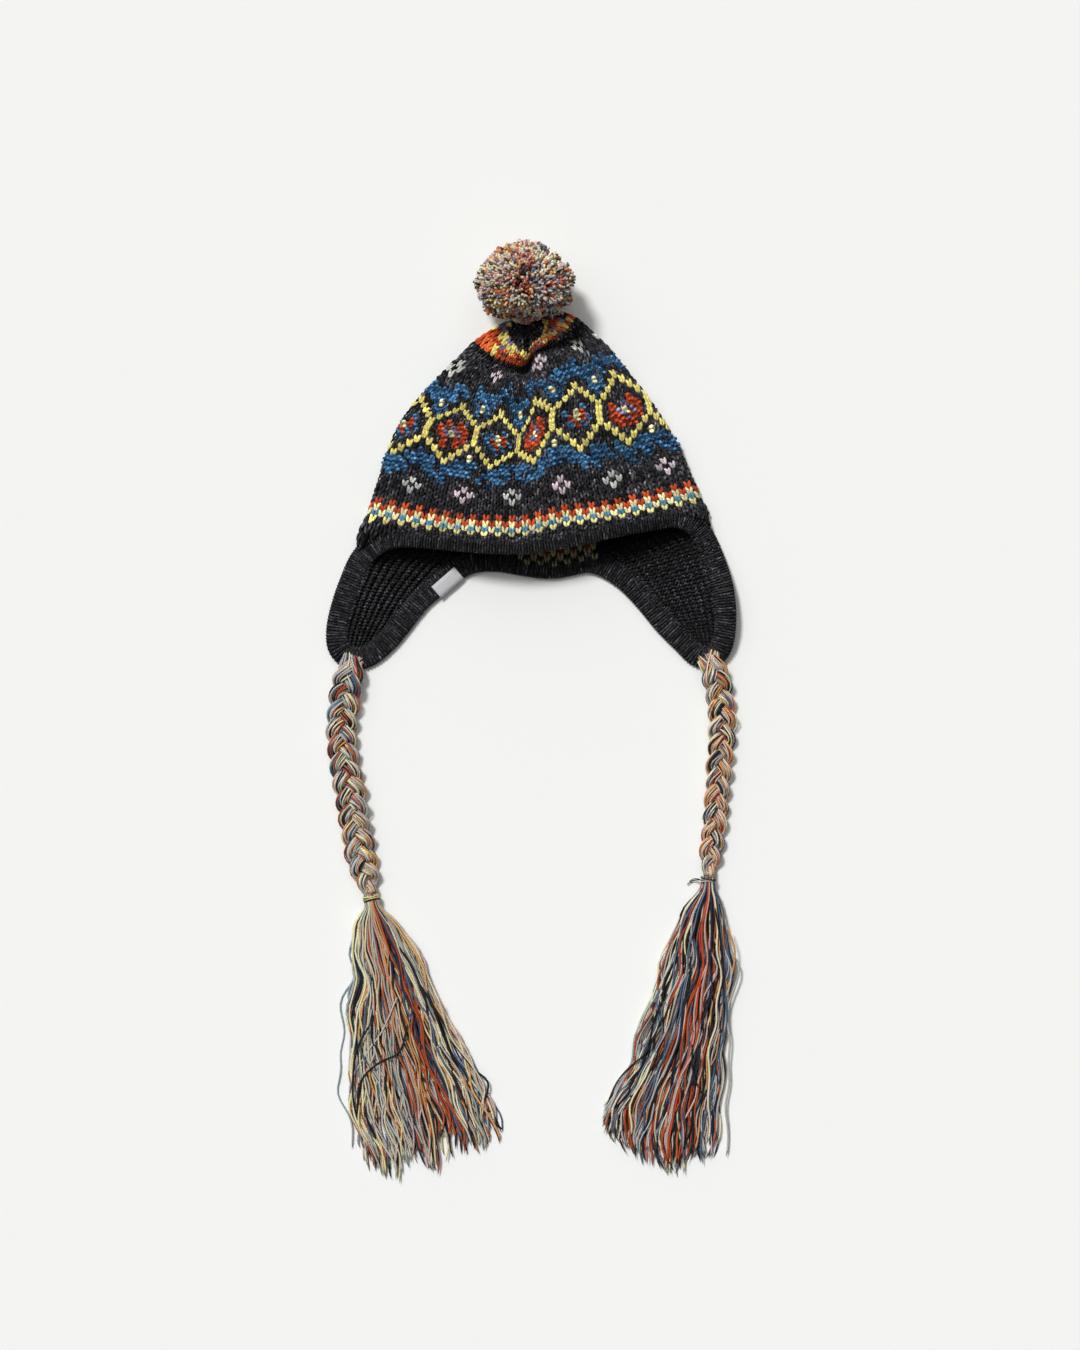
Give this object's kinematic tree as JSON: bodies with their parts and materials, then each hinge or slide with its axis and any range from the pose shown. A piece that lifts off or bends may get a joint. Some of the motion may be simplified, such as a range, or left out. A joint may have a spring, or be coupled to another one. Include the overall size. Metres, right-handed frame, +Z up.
{
  "type": "knitted beanie with ear flaps, pompom and braided ties",
  "caption": "Flat-lying patterned knit hat with ribbed ear flaps, a bound edge, a pompom and braided ties ending in tassels.",
  "frame": {"origin": "on the surface that the hat lies on, under the middle of the hat's own box, the ties left out", "axes": "+Z up from the surface, +Y from the mouth towards the pompom, +X to the right as seen from above with the front panel up"},
  "size_m": [0.3089, 0.7073, 0.0712],
  "materials": {
    "patterned_knit": "stranded wool-blend knit, matt and slightly hairy",
    "charcoal_rib": "fine ribbed marl knit, matt",
    "label_tape": "smooth woven tape",
    "mixed_yarn": "loose plied yarns of many colours, matt"
  },
  "bodies": {
    "root": {"crown": "patterned_knit", "rim_binding": "charcoal_rib", "earflap_left": "charcoal_rib", "earflap_right": "charcoal_rib", "label": "label_tape", "pompom": "mixed_yarn", "braid_left_strand_1": "mixed_yarn", "braid_left_strand_2": "mixed_yarn", "braid_left_strand_3": "mixed_yarn", "tie_wrap_left": "mixed_yarn", "tassel_left": "mixed_yarn", "braid_right_strand_1": "mixed_yarn", "braid_right_strand_2": "mixed_yarn", "braid_right_strand_3": "mixed_yarn", "tie_wrap_right": "mixed_yarn", "tassel_right": "mixed_yarn"}
  },
  "joints": []
}
